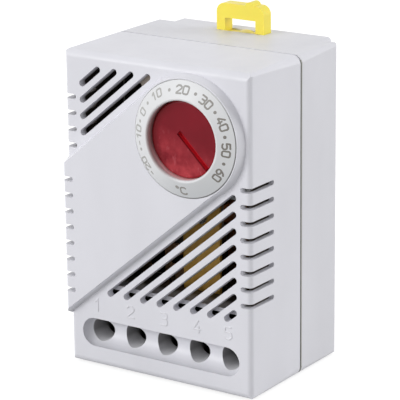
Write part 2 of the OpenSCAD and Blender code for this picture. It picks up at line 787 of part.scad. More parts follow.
module contact_arm() {
    color("Peru") difference() {
        union() {
            slab(arm_x - 2.7, arm_x + 2.7, arm_y, arm_b, contact_z - 2.2, arm_pin_z - 0.6);
            rod_x(arm_x - 2.7, arm_x + 2.7, arm_y + 0.4, arm_pin_z, 1.6);
        }
        rod_x(-10, 20, arm_y + 0.4, arm_pin_z, 0.8 + run_play);
        rod_y(arm_x, contact_z, arm_y - 1, arm_b + 1, 0.9);
    }
}

module moving_contact() {
    color("Silver") {
        rod_y(arm_x, contact_z, arm_y - 0.6, arm_b + 0.6, 0.9);
        rod_y(arm_x, contact_z, arm_y - 0.6, arm_y, tip_r);
        rod_y(arm_x, contact_z, arm_b, arm_b + 0.6, tip_r);
    }
}

module contact_pin() {
    color("LightSteelBlue") rod_x(arm_x - 4.2, arm_x + 4.2, arm_y + 0.4, arm_pin_z, 0.8);
}

// foot of a blade against its block
module foot(x, z) {
    slab(x - blade_w / 2, x + blade_w / 2, block_b, blade_b, block_z + 1, z);
}

module common_blade() {
    x = term_x[3];
    color("Peru") difference() {
        union() {
            foot(x, arm_pin_z + 3);
            slab(arm_x - 3.8, x, block_b, blade_b, arm_pin_z - 3, arm_pin_z + 3);
            for (s = [-1, 1]) slab(arm_x + s * 3.4 - 0.4, arm_x + s * 3.4 + 0.4,
                arm_y - 1.2, blade_b, arm_pin_z - 2, arm_pin_z + 2);
        }
        rod_x(-10, 20, arm_y + 0.4, arm_pin_z, 0.8);
    }
}

module nc_blade() {
    x = term_x[1];
    color("Peru") difference() {
        union() {
            foot(x, contact_z + 5);
            slab(x + blade_w / 2 - blade_t, x + blade_w / 2, nc_y - blade_t, blade_b,
                bank_z + 0.6, contact_z + 3);
            slab(x + blade_w / 2 - blade_t, arm_x + 1.9, nc_y - blade_t, nc_y,
                contact_z - 2, contact_z + 2);
        }
        rod_y(arm_x, contact_z, nc_y - 3, nc_y + 1, 0.9);
    }
}

module no_blade() {
    x = term_x[2];
    blade_y = arm_b + 0.6 + contact_gap + 0.4;
    color("Peru") difference() {
        union() {
            foot(x, contact_z + 9.4);
            slab(x, arm_x + 3, block_b, blade_b, contact_z - 2.2, contact_z + 9.4);
        }
        rod_y(arm_x, contact_z, blade_y - 3, blade_y + 3, 0.9);
    }
}

module fixed_contacts() {
    color("Silver") {
        rod_y(arm_x, contact_z, nc_y - blade_t - 0.05, arm_y - 0.65, 0.9);
        rod_y(arm_x, contact_z, nc_y, arm_y - 0.65, tip_r);
        rod_y(arm_x, contact_z, arm_b + 0.6 + contact_gap, blade_b + 0.05, 0.9);
        rod_y(arm_x, contact_z, arm_b + 0.6 + contact_gap, block_b, tip_r);
    }
}

module snap_magnet() {
    color("DimGray") slab(arm_x - 2.5, arm_x + 2.5, block_b - 1, block_b, contact_z + 5,
        contact_z + 9);
}

module heater_blade() {
    color("Peru") foot(term_x[4], contact_z + 6);
}

module spare_blade() {
    color("Peru") foot(term_x[0], bank_z + 2.5);
}

module feedback_resistor() {
    color("SteelBlue") {
        rod_x(res_x, res_x + res_len, res_y, res_z, res_r);
        rod_x(res_x, res_x + 0.22 * res_len, res_y, res_z, res_r + 0.3);
        rod_x(res_x + 0.78 * res_len, res_x + res_len, res_y, res_z, res_r + 0.3);
    }
}

module resistor_leads() {
    ends = [term_x[1], term_x[terminals - 1]];
    color("Silver") {
        rod_x(res_x + res_len, ends[1], res_y, res_z, lead_r);
        rod_x(ends[0], res_x, res_y, res_z, lead_r);
        for (x = ends) {
            translate([x, res_y, res_z]) sphere(r = lead_r);
            rod_y(x, res_z, blade_b, res_y, lead_r);
        }
    }
}

module terminal_blocks() {
    color("Goldenrod") for (x = term_x) difference() {
        slab(x - block_w / 2, x + block_w / 2, block_y, block_b, block_z, block_z + block_h);
        translate([x, bore_y, block_z - 1]) cylinder(h = block_h - 0.6, r = wire_r);
        rod_y(x, term_z, block_y - 1, bore_y, tscrew_r);
    }
}

module terminal_screws() {
    color("Silver") for (x = term_x) {
        rod_y(x, term_z, block_y - 2.3, bore_y - wire_r - 0.1, tscrew_r);
        difference() {
            rod_y(x, term_z, block_y - 2.3, block_y - 0.6, thead_r);
            slab(x - 3, x + 3, block_y - 3, block_y - 1.4, term_z - 0.4, term_z + 0.4);
        }
    }
}

module rail_clip() {
    w = clip_w / 2;
    foot_z = rail_top + clip_play;
    color("Gold") {
        difference() {
            union() {
                along_y(clip_y, clip_b) rounded(-w, foot_z, clip_w, clip_top - foot_z, 2);
                slab(-w, w, clip_y, clip_b, foot_z, foot_z + 6);
                along_y(clip_y, clip_b) translate([2.5, clip_top - 0.4]) circle(1.2);
            }
            difference() {
                slab(-4, 4, clip_y - 1, clip_b + 1, z1 - 0.6, z1 + 2.6);
                along_y(clip_y - 2, clip_b + 2) translate([0, z1 - 4.2]) circle(4);
            }
        }
        // nose over and behind the rail's upper lip
        slab(-4.4, 4.4, clip_b - 0.5, nose_y + 2.2, foot_z, clip_z0 + 3.6);
        slab(-4.4, 4.4, nose_y, nose_y + 2.2, clip_z0, clip_z0 + 3.6);
        // moulded spring legs
        for (s = [-1, 1]) {
            slab(s * (w + 0.9) - 1.5, s * (w + 0.9) + 1.5, clip_y + 0.4, clip_b - 0.4,
                rail_top + 3.2, rail_top + 4.4);
            slab(s * (w + 2) - 0.4, s * (w + 2) + 0.4, clip_y + 0.4, clip_b - 0.4,
                rail_top + 3.2, z1 - 5 - clip_travel - 0.5);
        }
    }
}

// every piece is drawn in the case's own depths, then moved to the shared frame
module place() {
    translate([0, front_y, 0]) children();
}

place() front_cover();
place() back_base();
place() scale_ring();
place() setpoint_knob();
place() cam_spindle();
place() mechanism_bracket();
place() bracket_screws();
place() lever_pin();
place() adjusting_lever();
place() lever_spring();
place() calibration_screw();
place() bimetal_strip();
place() bimetal_rivets();
place() push_stud();
place() contact_arm();
place() moving_contact();
place() contact_pin();
place() common_blade();
place() nc_blade();
place() no_blade();
place() fixed_contacts();
place() snap_magnet();
place() heater_blade();
place() spare_blade();
place() feedback_resistor();
place() resistor_leads();
place() terminal_blocks();
place() terminal_screws();
place() rail_clip();
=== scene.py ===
"""Looks of the enclosure thermostat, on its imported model. Lengths in millimetres unless said."""

import json
import logging
import math
from dataclasses import dataclass
from enum import Enum
from typing import Callable, NamedTuple, Sequence

import bmesh
import bpy
from mathutils import Matrix, Vector


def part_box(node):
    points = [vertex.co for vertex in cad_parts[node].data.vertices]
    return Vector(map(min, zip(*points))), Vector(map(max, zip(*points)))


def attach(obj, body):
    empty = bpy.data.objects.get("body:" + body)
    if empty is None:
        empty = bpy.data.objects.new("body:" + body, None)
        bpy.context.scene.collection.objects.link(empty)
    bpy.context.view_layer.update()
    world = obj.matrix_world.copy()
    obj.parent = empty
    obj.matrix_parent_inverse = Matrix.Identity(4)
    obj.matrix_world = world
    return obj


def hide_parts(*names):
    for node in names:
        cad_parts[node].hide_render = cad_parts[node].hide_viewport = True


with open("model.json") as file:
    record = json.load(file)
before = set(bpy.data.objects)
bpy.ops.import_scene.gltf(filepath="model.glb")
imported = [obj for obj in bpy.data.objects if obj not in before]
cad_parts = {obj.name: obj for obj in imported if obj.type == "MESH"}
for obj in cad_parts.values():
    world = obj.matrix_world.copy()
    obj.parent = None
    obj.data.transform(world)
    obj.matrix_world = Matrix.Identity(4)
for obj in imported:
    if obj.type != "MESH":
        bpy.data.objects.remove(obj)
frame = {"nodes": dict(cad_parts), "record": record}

Point = tuple[float, float]
Triple = tuple[float, float, float]
Colour = tuple[float, float, float]
Socket = bpy.types.NodeSocket

LOG = logging.getLogger("thermostat")
MM = 0.001
RING_RISE = 3.58  # how far the scale ring stands before the front's face
FRONT_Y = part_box("scale_ring")[0].y / MM + RING_RISE
GLYPH_W, GLYPH_H = 10, 16
INWARD: Triple = (0.0, 1.0, 0.0)
SHARP: Triple = (0.05, 0.05, 0.05)
PLAIN_MATH, VECTOR_MATH = "ShaderNodeMath", "ShaderNodeVectorMath"


class Axis(Enum):
    """The direction in which a brushed or drawn finish runs."""

    X = 0
    Y = 1
    Z = 2


class Glyph(Enum):
    """Strokes of the plain squarish figures, on a grid 10 wide and 16 high."""

    ZERO = ("0", (((0, 2), (0, 14), (2, 16), (8, 16), (10, 14), (10, 2), (8, 0), (2, 0), (0, 2)),))
    ONE = ("1", (((2, 12), (6, 16), (6, 0)),))
    TWO = ("2", (((0, 13), (3, 16), (7, 16), (10, 13), (10, 10), (0, 1), (0, 0), (10, 0)),))
    THREE = ("3", (((0, 16), (8, 16), (10, 14), (10, 10.5), (8, 8.5), (3, 8.5)),
                   ((8, 8.5), (10, 6.5), (10, 2), (8, 0), (0, 0))))
    FOUR = ("4", (((7, 16), (0, 5), (0, 4), (10, 4)), ((7.4, 8.5), (7.4, 0))))
    FIVE = ("5", (((9, 16), (1, 16), (0, 9), (6, 9.6), (9, 8.6), (10, 6), (10, 3), (7, 0), (2, 0),
                   (0, 1.5)),))
    SIX = ("6", (((8.5, 16), (5, 14), (1, 8), (0, 5), (0, 3), (3, 0), (7, 0), (10, 3), (10, 6),
                  (7, 9), (3, 9), (0.6, 6.6)),))
    DEGREE = ("o", (((5, 13), (5, 14.6), (6.2, 16), (8.2, 16), (9.4, 14.6), (9.4, 13),
                     (8.2, 11.6), (6.2, 11.6), (5, 13)),))
    CELSIUS = ("C", (((10, 14), (8, 16), (3, 16), (0, 13), (0, 3), (3, 0), (8, 0), (10, 2)),))
    MINUS = ("-", (((3, 8), (8, 8)),))

    @property
    def mark(self) -> str:
        """The character that the strokes draw."""
        return self.value[0]

    @property
    def strokes(self) -> Sequence[Sequence[Point]]:
        """The strokes as lines of grid points."""
        return self.value[1]


GLYPHS: dict[str, Glyph] = {g.mark: g for g in Glyph}


def in_scene(name: str, data: bpy.types.ID) -> bpy.types.Object:
    """Adds a mesh, camera or lamp to the scene.

    Args:
        name: Name of the object.
        data: What it holds.

    Returns:
        The new object.
    """
    made = bpy.data.objects.new(name, data)
    bpy.context.scene.collection.objects.link(made)
    return made


# ---- node helpers


def maths(tree: bpy.types.NodeTree, kind: str, operation: str,
          *inputs: Socket | Vector) -> bpy.types.Node:
    """Adds a maths node to a tree.

    Args:
        tree: The tree.
        kind: Type of the node.
        operation: What it works out.
        inputs: Outputs to link or vectors to set, in the order of its sockets.

    Returns:
        The node.
    """
    node = tree.nodes.new(kind)
    node.operation = operation
    for socket, value in zip(node.inputs, inputs):
        if isinstance(value, Socket):
            tree.links.new(value, socket)
        else:
            socket.default_value = value
    return node


def backdrop_rays(tree: bpy.types.NodeTree) -> Socket:
    """One for rays that show the backdrop: to the camera, off gloss or through glass.

    Args:
        tree: The tree that needs it.

    Returns:
        The value output.
    """
    path = tree.nodes.new("ShaderNodeLightPath")
    seen = path.outputs["Is Camera Ray"]
    for name in ("Is Glossy Ray", "Is Transmission Ray"):
        seen = maths(tree, PLAIN_MATH, "MAXIMUM", seen, path.outputs[name]).outputs["Value"]
    return seen


class Grain(NamedTuple):
    """A noise: cycles in a metre, octaves, and factors for the three axes."""

    scale: float
    detail: float
    stretch: Triple | None = None


class NodeSheet:
    """A small helper that adds nodes to a material's tree."""

    NOISE_SPAN: Point = (0.3, 0.7)
    MIX_SHARE, MIX_FIRST, MIX_SECOND, MIX_COLOUR = 0, 6, 7, 2

    def __init__(self, name: str) -> None:
        """Starts an empty material.

        Args:
            name: The material's name.
        """
        self.material = bpy.data.materials.new(name)
        self.material.use_nodes = True
        self.tree = self.material.node_tree
        self.tree.nodes.clear()
        self.output = self.tree.nodes.new("ShaderNodeOutputMaterial")
        self.shader = self.tree.nodes.new("ShaderNodeBsdfPrincipled")
        self.tree.links.new(self.shader.outputs["BSDF"], self.output.inputs["Surface"])
        self.coords = self.tree.nodes.new("ShaderNodeTexCoord").outputs["Object"]

    def put(self, socket: str, value: float | tuple[float, ...]) -> None:
        """Sets a plain value on the shader's own socket."""
        self.shader.inputs[socket].default_value = value

    def link(self, output: Socket, socket: str) -> None:
        """Links an output to one of the shader's sockets."""
        self.tree.links.new(output, self.shader.inputs[socket])

    def noise(self, grain: Grain) -> Socket:
        """Adds noise on object coordinates.

        Args:
            grain: The noise.

        Returns:
            The factor output.
        """
        node = self.tree.nodes.new("ShaderNodeTexNoise")
        node.inputs["Scale"].default_value = grain.scale
        node.inputs["Detail"].default_value = grain.detail
        source = self.coords
        if grain.stretch is not None:
            mapping = self.tree.nodes.new("ShaderNodeMapping")
            mapping.inputs["Scale"].default_value = grain.stretch
            self.tree.links.new(source, mapping.inputs["Vector"])
            source = mapping.outputs["Vector"]
        self.tree.links.new(source, node.inputs["Vector"])
        return node.outputs["Fac"]

    def ramp(self, factor: Socket, start: float, end: float,
             low: float = 0.0, high: float = 1.0) -> Socket:
        """Maps a value to a range, clamped.

        Args:
            factor: The socket to map.
            start: Value that gives the low result.
            end: Value that gives the high result.
            low: Result at the start.
            high: Result at the end.

        Returns:
            The mapped output.
        """
        node = self.tree.nodes.new("ShaderNodeMapRange")
        for name, value in (("From Min", start), ("From Max", end),
                            ("To Min", low), ("To Max", high)):
            node.inputs[name].default_value = value
        self.tree.links.new(factor, node.inputs["Value"])
        return node.outputs["Result"]

    def spread(self, factor: Socket, low: float = 0.0, high: float = 1.0) -> Socket:
        """Maps the usual span of a noise to a range."""
        return self.ramp(factor, *self.NOISE_SPAN, low, high)

    def blend(self, share: Socket, first: Colour | Socket, second: Colour) -> Socket:
        """Mixes two linear colours.

        Args:
            share: The share of the second colour.
            first: First colour, or an output that gives it.
            second: Second colour.

        Returns:
            The colour output.
        """
        node = self.tree.nodes.new("ShaderNodeMix")
        node.data_type = "RGBA"
        if isinstance(first, Socket):
            self.tree.links.new(first, node.inputs[self.MIX_FIRST])
        else:
            node.inputs[self.MIX_FIRST].default_value = (*first, 1.0)
        node.inputs[self.MIX_SECOND].default_value = (*second, 1.0)
        self.tree.links.new(share, node.inputs[self.MIX_SHARE])
        return node.outputs[self.MIX_COLOUR]

    def along(self, direction: Vector, origin: Vector) -> Socket:
        """How far a point lies from an origin, measured along a direction, in metres.

        Args:
            direction: The direction.
            origin: Where the measure starts.

        Returns:
            The value output.
        """
        shift = maths(self.tree, VECTOR_MATH, "SUBTRACT", self.coords, origin)
        dot = maths(self.tree, VECTOR_MATH, "DOT_PRODUCT", shift.outputs["Vector"], direction)
        return dot.outputs["Value"]

    def off_axis(self, centre: Vector) -> Socket:
        """How far a point lies from the line through a centre along Y, in metres.

        Args:
            centre: A point of the line.

        Returns:
            The value output.
        """
        mapping = self.tree.nodes.new("ShaderNodeMapping")
        mapping.inputs["Location"].default_value = (-centre.x, 0.0, -centre.z)
        mapping.inputs["Scale"].default_value = (1.0, 0.0, 1.0)
        self.tree.links.new(self.coords, mapping.inputs["Vector"])
        return maths(self.tree, VECTOR_MATH, "LENGTH", mapping.outputs["Vector"]).outputs["Value"]

    def product(self, *factors: Socket) -> Socket:
        """Multiplies values.

        Args:
            factors: The sockets to multiply.

        Returns:
            The value output.
        """
        result = factors[0]
        for factor in factors[1:]:
            result = maths(self.tree, PLAIN_MATH, "MULTIPLY", result, factor).outputs["Value"]
        return result

    def relief(self, height: Socket, depth: float, strength: float) -> None:
        """Adds a bump to the shader.

        Args:
            height: The height factor.
            depth: Height of the relief.
            strength: Strength of the bump.
        """
        node = self.tree.nodes.new("ShaderNodeBump")
        node.inputs["Strength"].default_value = strength
        node.inputs["Distance"].default_value = depth * MM
        self.tree.links.new(height, node.inputs["Height"])
        self.link(node.outputs["Normal"], "Normal")


# ---- shades by place, most of them painted light and painted shade


@dataclass(frozen=True)
class Slope:
    """A share that rises from 0 to 1 between two distances along a direction."""

    way: Triple
    start: float
    end: float

    def share(self, sheet: NodeSheet, origin: Vector) -> Socket:
        """The share, measured from an origin in metres."""
        return sheet.ramp(sheet.along(Vector(self.way), origin), self.start * MM, self.end * MM)


@dataclass(frozen=True)
class Round:
    """A share that rises from 0 to 1 between two distances from a line along Y."""

    start: float
    end: float

    def share(self, sheet: NodeSheet, origin: Vector) -> Socket:
        """The share, measured from the line through an origin in metres."""
        return sheet.ramp(sheet.off_axis(origin), self.start * MM, self.end * MM)


@dataclass(frozen=True)
class Shade:
    """A colour laid over the plain one where all of its parts are full."""

    colour: Colour
    origin: Vector
    parts: tuple[Slope | Round, ...]

    def lay(self, sheet: NodeSheet, base: Socket) -> Socket:
        """Lays the colour over another.

        Args:
            sheet: The material's sheet.
            base: The colour underneath.

        Returns:
            The new colour output.
        """
        share = sheet.product(*(part.share(sheet, self.origin) for part in self.parts))
        return sheet.blend(share, base, self.colour)


def lay_all(sheet: NodeSheet, colour: Socket, shades: Sequence[Shade]) -> None:
    """Lays shades over a colour and gives the result to the shader.

    Args:
        sheet: The material's sheet.
        colour: The plain colour.
        shades: The shades, in order.
    """
    for shade in shades:
        colour = shade.lay(sheet, colour)
    sheet.link(colour, "Base Color")


def front_middle(node: str) -> Vector:
    """The middle of the front of a CAD node's box, in metres."""
    low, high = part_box(node)
    return Vector(((low.x + high.x) / 2, low.y, (low.z + high.z) / 2))


def box_shade(low: Triple, high: Triple, colour: Colour, fade: Triple = SHARP,
              fade_high: Triple = SHARP) -> Shade:
    """Shades what lies in a box, whose depths count from the front's face.

    Args:
        low: Low corner.
        high: High corner.
        colour: The shade.
        fade: Widths over which it rises at the low ends of the three axes.
        fade_high: The same for the high ends.

    Returns:
        The shade.
    """
    parts = []
    for axis in range(3):
        for sign, limit, width in ((1.0, low[axis], fade[axis]),
                                   (-1.0, -high[axis], fade_high[axis])):
            way = Vector((0.0, 0.0, 0.0))
            way[axis] = sign
            parts.append(Slope(tuple(way), limit, limit + width))
    return Shade(colour, Vector((0.0, FRONT_Y * MM, 0.0)), tuple(parts))


@dataclass(frozen=True)
class AccessTubes:
    """The tubes that lead to the terminal screws: painted light below, painted shade above."""

    places: tuple[float, ...] = (-17.0, -8.5, 0.0, 8.5, 17.0)
    middle_z: float = 8.2
    bore: Round = Round(2.71, 2.68)
    depth: Slope = Slope(INWARD, 8.0, 7.95)
    high_up: Slope = Slope((0.0, 0.0, 1.0), -2.5, -0.6)
    # painted light on the lower walls of the tubes
    floor: Colour = (0.82, 0.82, 0.85)
    # painted shade on the upper walls of the tubes
    roof: Colour = (0.27, 0.265, 0.275)

    def shades(self) -> tuple[Shade, ...]:
        """The shades of all five tubes.

        Returns:
            For each tube its floor, then its roof.
        """
        made = []
        for x in self.places:
            axis = Vector((x, FRONT_Y, self.middle_z)) * MM
            made.append(Shade(self.floor, axis, (self.bore, self.depth)))
            made.append(Shade(self.roof, axis, (self.bore, self.depth, self.high_up)))
        return tuple(made)


@dataclass(frozen=True)
class DialSeat:
    """The seat of the scale ring: painted light round the ring, painted red light in the well
    under the disc.
    """

    face_y: float = -1.96
    behind: Slope = Slope(INWARD, 0.0, 0.05)
    before: Slope = Slope(INWARD, 3.4, 3.35)
    gap_reach: Round = Round(12.96, 12.93)
    # painted light in the gap round the ring, where shade would fall
    gap: Colour = (0.97, 0.97, 0.97)
    well_reach: Round = Round(8.78, 8.72)
    # painted red light from the clear disc on the wall of the well
    well: Colour = (1.0, 0.46, 0.48)

    def shades(self) -> tuple[Shade, ...]:
        """The shades of the seat.

        Returns:
            The gap round the ring, then the well.
        """
        seat = front_middle("scale_ring")
        seat.y = (FRONT_Y + self.face_y) * MM
        return (Shade(self.gap, seat, (self.gap_reach, self.behind, self.before)),
                Shade(self.well, seat, (self.well_reach, self.before)))


def shell_shades() -> tuple[Shade, ...]:
    """Painted light and shade of both shells: painted shade where they lie deep, in the joint and
    where they face down, painted light on the band's flank.

    Returns:
        The shades, in the order in which they are laid.
    """
    # painted shade on the walls behind the vents
    vent_walls = box_shade((-22.85, 0.7, 19.4), (22.85, 33.5, 70.7), (0.07, 0.055, 0.045),
                           fade=(0.05, 1.9, 0.05))
    # painted shade on the inner faces of the shells
    inner_faces = box_shade((-21.9, 1.8, 19.4), (21.9, 33.5, 70.7), (0.44, 0.38, 0.32))
    # painted shade on the shelf inside the case
    shelf = box_shade((-22.4, 4.6, 17.2), (22.4, 33.5, 19.5), (0.06, 0.05, 0.04),
                      fade=(0.05, 2.5, 0.05))
    # painted shade in the terminal chambers
    chambers = box_shade((-22.4, 6.8, 1.9), (22.4, 33.5, 17.5), (0.02, 0.02, 0.02),
                         fade=(0.05, 4.2, 0.05))
    # painted shade in the upper parts of the chambers, behind the tubes
    chamber_roofs = box_shade((-22.4, 5.6, 5.9), (22.4, 33.5, 17.5), (0.03, 0.03, 0.03),
                              fade=(0.05, 2.4, 4.0))
    # painted shade in the joint between the shells
    joint = box_shade((-30.0, 19.45, -5.0), (30.0, 20.05, 71.4), (0.34, 0.34, 0.31))
    # painted light on the flank of the band
    band_flank = box_shade((-30.0, -1.93, -5.0), (30.0, -0.07, 58.0), (0.87, 0.87, 0.92),
                           fade_high=(0.05, 0.05, 12.0))
    # painted shade on the lower part of the band's flank
    band_foot = box_shade((-30.0, -1.6, -5.0), (24.0, -0.07, 58.0), (0.63, 0.63, 0.665),
                          fade=(0.05, 1.2, 0.05), fade_high=(7.0, 0.05, 12.0))
    return (*AccessTubes().shades(), vent_walls, inner_faces, shelf, chambers, chamber_roofs,
            joint, band_flank, band_foot, *DialSeat().shades())


@dataclass(frozen=True)
class RingShades:
    """Painted light and shade of the scale ring: its hole takes the disc's red as painted light,
    its rim a painted shadow line.
    """

    hole: Round = Round(8.8, 8.7)
    hole_depth: Slope = Slope(INWARD, 0.2, 1.1)
    hole_left: Slope = Slope((-1.0, 0.0, 0.45), 3.0, 7.5)
    # painted red light from the disc on the wall of the hole
    cast: Colour = (0.90, 0.56, 0.58)
    # painted shade, tinged red, on the left of the hole's wall
    foot: Colour = (0.35, 0.18, 0.18)
    edge: Round = Round(9.25, 8.7)
    edge_left: Slope = Slope((-0.95, 0.0, -0.3), 3.0, 8.0)
    # painted shade at the left edge of the hole
    edge_shade: Colour = (0.33, 0.255, 0.255)
    cone: Round = Round(9.0, 9.3)
    cone_low: Slope = Slope((0.15, 0.0, -1.0), 6.0, 12.0)
    # painted shade low on the cone, which faces down there
    cone_shade: Colour = (0.56, 0.575, 0.59)
    side: Round = Round(12.71, 12.73)
    # painted light on the ring's outer side, where shade would fall
    side_shade: Colour = (0.97, 0.97, 0.97)
    rim: Round = Round(12.58, 12.64)
    rim_right: Slope = Slope((0.8, 0.0, -0.6), -1.0, 7.0)
    # painted shadow line at the rim, on the lower right
    rim_shade: Colour = (0.22, 0.22, 0.22)

    def shades(self) -> tuple[Shade, ...]:
        """The shades of the ring.

        Returns:
            The shades, in the order in which they are laid.
        """
        top = front_middle("scale_ring")
        return (Shade(self.edge_shade, top, (self.edge, self.edge_left)),
                Shade(self.cast, top, (self.hole, self.hole_depth)),
                Shade(self.foot, top, (self.hole, self.hole_depth, self.hole_left)),
                Shade(self.cone_shade, top, (self.cone_low, self.cone)),
                Shade(self.side_shade, top, (self.side,)),
                Shade(self.rim_shade, top, (self.rim, self.rim_right)))


def ink_shades() -> tuple[Shade, ...]:
    """How the print grows paler on the left.

    Returns:
        The one shade.
    """
    left: Slope = Slope((-0.9, 0.0, 0.4), -9.0, 13.0)
    paler: Colour = (0.42, 0.42, 0.41)
    return (Shade(paler, front_middle("scale_ring"), (left,)),)


def screw_shades() -> tuple[Shade, ...]:
    """Painted shade behind the faces of the terminal screws, which darkens their slots.

    Returns:
        The one shade.
    """
    low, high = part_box("terminal_screws")
    behind, below = Slope(INWARD, 0.4, 0.6), Slope((0.0, 0.0, -1.0), -0.1, 0.0)
    # painted shade in the slots and on the sides of the heads
    recess_shade: Colour = (0.075, 0.07, 0.06)
    return (Shade(recess_shade, Vector((low.x, low.y, high.z)), (behind, below)),)


# ---- finishes


@dataclass(frozen=True)
class MouldedPlastic:
    """Moulded plastic with a fine grain, faint flow marks and uneven gloss."""

    name: str
    colour: Colour
    roughness: float = 0.42
    uneven: Point = (-0.05, 0.06)
    grain_mm: float = 0.18
    grain_detail: float = 2.0
    grain_depth: float = 0.012
    grain_bump: float = 0.35
    flow: float = 0.03
    flow_marks: Grain = Grain(70.0, 3.0, (1.0, 1.0, 0.45))
    gloss_marks: Grain = Grain(260.0, 4.0)
    specular: float = 0.4
    inner_glow: float = 0.0
    glow_spread: Colour = (0.9, 0.35, 0.2)
    glow_depth: float = 0.8
    shades: tuple[Shade, ...] = ()

    def make(self) -> bpy.types.Material:
        """Builds the material.

        Returns:
            The new material.
        """
        sheet = NodeSheet(self.name)
        light = tuple(min(1.0, c * (1 + self.flow)) for c in self.colour)
        dark = tuple(c * (1 - self.flow) for c in self.colour)
        colour = sheet.blend(sheet.spread(sheet.noise(self.flow_marks)), dark, light)
        lay_all(sheet, colour, self.shades)
        gloss = sheet.noise(self.gloss_marks)
        sheet.link(sheet.spread(gloss, *(self.roughness + u for u in self.uneven)), "Roughness")
        grain = sheet.noise(Grain(1.0 / (self.grain_mm * MM), self.grain_detail))
        sheet.relief(grain, self.grain_depth, self.grain_bump)
        sheet.put("Specular IOR Level", self.specular)
        if self.inner_glow:
            sheet.put("Subsurface Weight", self.inner_glow)
            sheet.put("Subsurface Radius", self.glow_spread)
            sheet.put("Subsurface Scale", self.glow_depth * MM)
        return sheet.material


@dataclass(frozen=True)
class WorkedMetal:
    """Rolled, turned or plated metal with marks along one axis and faint stains."""

    name: str
    colour: Colour
    roughness: float = 0.3
    uneven: Point = (-0.08, 0.12)
    along: Axis = Axis.Z
    stretch: float = 14.0
    marks_mm: float = 0.25
    marks_detail: float = 3.0
    mark_depth: float = 0.006
    mark_bump: float = 0.4
    stain: float = 0.12
    stain_marks: Grain = Grain(160.0, 5.0)
    metallic: float = 1.0
    shades: tuple[Shade, ...] = ()

    def make(self) -> bpy.types.Material:
        """Builds the material.

        Returns:
            The new material.
        """
        sheet = NodeSheet(self.name)
        scales = [1.0, 1.0, 1.0]
        scales[self.along.value] = 1.0 / self.stretch
        marks = sheet.noise(
            Grain(1.0 / (self.marks_mm * MM), self.marks_detail, tuple(scales)))
        dull = tuple(c * (1 - self.stain) for c in self.colour)
        colour = sheet.blend(sheet.spread(sheet.noise(self.stain_marks)), dull, self.colour)
        lay_all(sheet, colour, self.shades)
        sheet.link(sheet.spread(marks, *(self.roughness + u for u in self.uneven)), "Roughness")
        sheet.relief(marks, self.mark_depth, self.mark_bump)
        sheet.put("Metallic", self.metallic)
        return sheet.material


@dataclass(frozen=True)
class ClearRed:
    """Red see-through plastic: dull on its face, painted light in its groove, painted reflections
    low on the left.
    """

    name: str = "knob"
    face: Colour = (0.165, 0.006, 0.013)
    face_light: float = 1.18
    face_marks: Grain = Grain(150.0, 2.0)
    # painted reflections low on the left of the face
    smudge: Colour = (0.46, 0.050, 0.062)
    smudge_marks: Grain = Grain(420.0, 4.0)
    smudge_side: Slope = Slope((-0.3, 0.0, -0.95), -1.0, 7.0)
    # painted highlight streaks among those reflections
    speck: Colour = (0.50, 0.12, 0.14)
    speck_marks: Grain = Grain(1500.0, 3.0, (1.0, 1.0, 0.35))
    speck_span: Point = (0.60, 0.72)
    # painted shade at the disc's left edge, next to the ring's wall
    edge: Colour = (0.10, 0.001, 0.003)
    edge_reach: Round = Round(6.2, 8.3)
    edge_side: Slope = Slope((-1.0, 0.0, 0.15), 1.0, 6.0)
    # painted highlight round the rim of the disc
    rim: Colour = (0.42, 0.02, 0.025)
    rim_reach: Round = Round(8.15, 8.35)
    # painted light in the groove, for the light that the clear plastic carries
    groove: Colour = (0.66, 0.026, 0.045)
    groove_reach: Round = Round(7.9, 7.7)
    groove_depth: Slope = Slope(INWARD, 0.3, 0.6)
    roughness: float = 0.34
    uneven: Point = (-0.06, 0.1)
    gloss_marks: Grain = Grain(500.0, 3.0)
    relief_marks: Grain = Grain(900.0, 3.0)
    relief_depth: float = 0.02
    relief_bump: float = 0.3
    specular: float = 0.12

    def make(self) -> bpy.types.Material:
        """Builds the material.

        Returns:
            The new material.
        """
        sheet = NodeSheet(self.name)
        top = front_middle("setpoint_knob")
        cloud = sheet.spread(sheet.noise(self.smudge_marks))
        side = self.smudge_side.share(sheet, top)
        streaks = sheet.ramp(sheet.noise(self.speck_marks), *self.speck_span)
        colour = sheet.blend(sheet.spread(sheet.noise(self.face_marks)), self.face,
                             tuple(c * self.face_light for c in self.face))
        # painted reflections, then painted highlight streaks, low on the left
        colour = sheet.blend(sheet.product(cloud, side), colour, self.smudge)
        colour = sheet.blend(sheet.product(streaks, side, cloud), colour, self.speck)
        lay_all(sheet, colour, (Shade(self.edge, top, (self.edge_reach, self.edge_side)),
                                Shade(self.rim, top, (self.rim_reach,)),
                                Shade(self.groove, top, (self.groove_depth, self.groove_reach))))
        gloss = sheet.noise(self.gloss_marks)
        sheet.link(sheet.spread(gloss, *(self.roughness + u for u in self.uneven)), "Roughness")
        sheet.relief(sheet.noise(self.relief_marks), self.relief_depth, self.relief_bump)
        sheet.put("Specular IOR Level", self.specular)
        return sheet.material


@dataclass(frozen=True)
class PaleFloor:
    """Pale floor that the camera sees as white where no shadow falls."""

    name: str = "pale_floor"
    colour: Colour = (0.40, 0.40, 0.40)
    roughness: float = 0.9
    lift: float = 0.75

    def make(self) -> bpy.types.Material:
        """Builds the material.

        Returns:
            The new material.
        """
        sheet = NodeSheet(self.name)
        sheet.put("Base Color", (*self.colour, 1.0))
        sheet.put("Roughness", self.roughness)
        sheet.put("Specular IOR Level", 0.0)
        nodes, links = sheet.tree.nodes, sheet.tree.links
        glow = nodes.new("ShaderNodeEmission")
        glow.inputs["Color"].default_value = (self.lift, self.lift, self.lift, 1.0)
        links.new(backdrop_rays(sheet.tree), glow.inputs["Strength"])
        both = nodes.new("ShaderNodeAddShader")
        links.new(sheet.shader.outputs["BSDF"], both.inputs[0])
        links.new(glow.outputs["Emission"], both.inputs[1])
        links.new(both.outputs["Shader"], sheet.output.inputs["Surface"])
        return sheet.material


